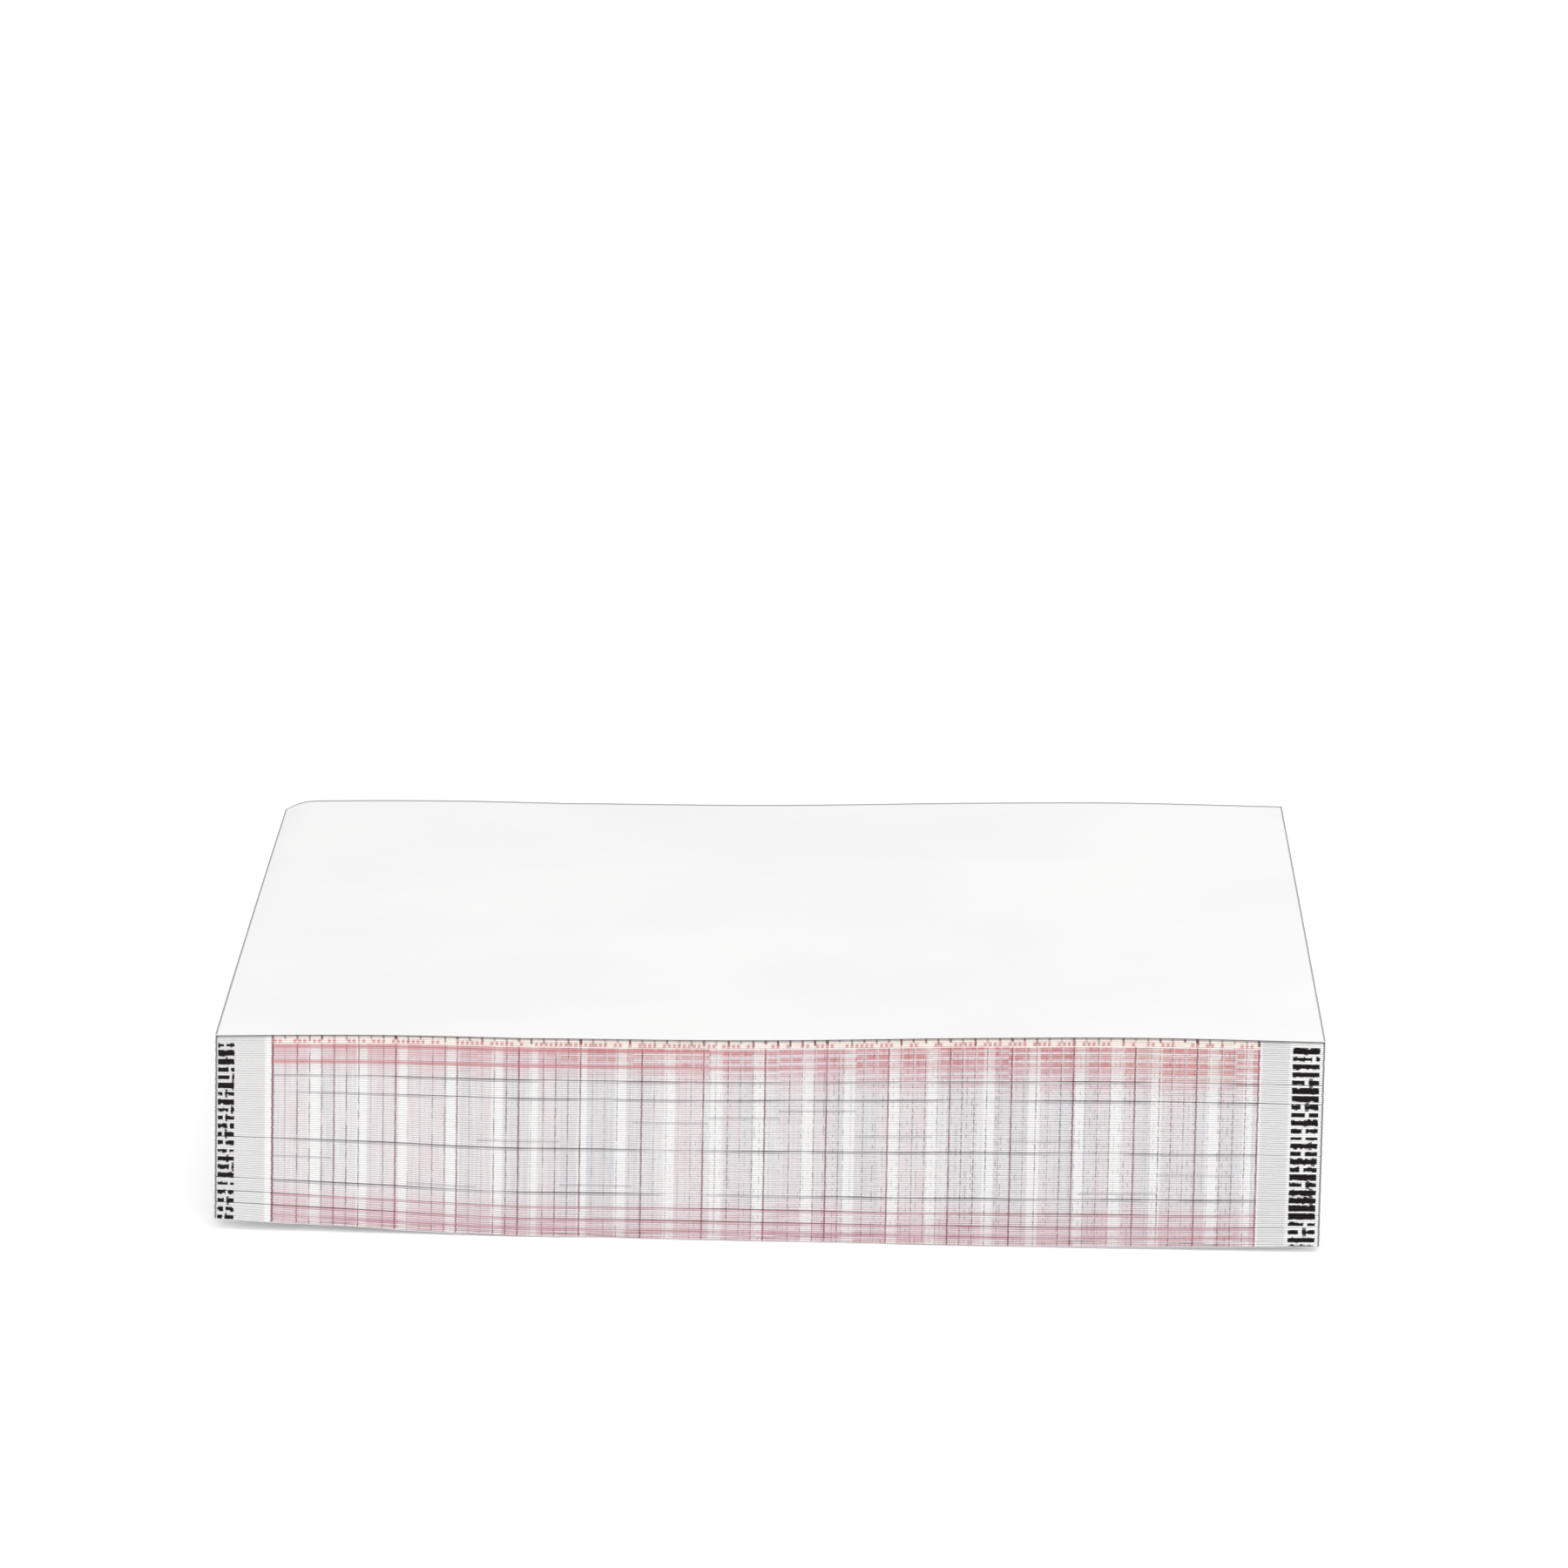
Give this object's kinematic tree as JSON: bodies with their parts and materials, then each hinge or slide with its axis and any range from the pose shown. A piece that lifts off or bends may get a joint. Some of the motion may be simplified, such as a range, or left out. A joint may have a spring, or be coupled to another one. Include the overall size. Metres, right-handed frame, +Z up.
{
  "type": "z-fold thermal recording paper",
  "caption": "Pack of fan-folded thermal chart paper: one strip creased to and fro into a flat stack, blank side up, with the ruled side showing at the front creases.",
  "frame": {"origin": "middle of the underside, on the surface that the pack lies on", "axes": "+Z up through the stack, +X across the strip to the right as seen from the front, +Y from the front creases to the rear creases"},
  "size_m": [0.09, 0.0902, 0.0179],
  "materials": {
    "thermal_paper": "matte coated thermal paper, ruled in grey, mauve and pale red on its printed side"
  },
  "bodies": {
    "root": {"folded_strip": "thermal_paper"}
  },
  "joints": []
}
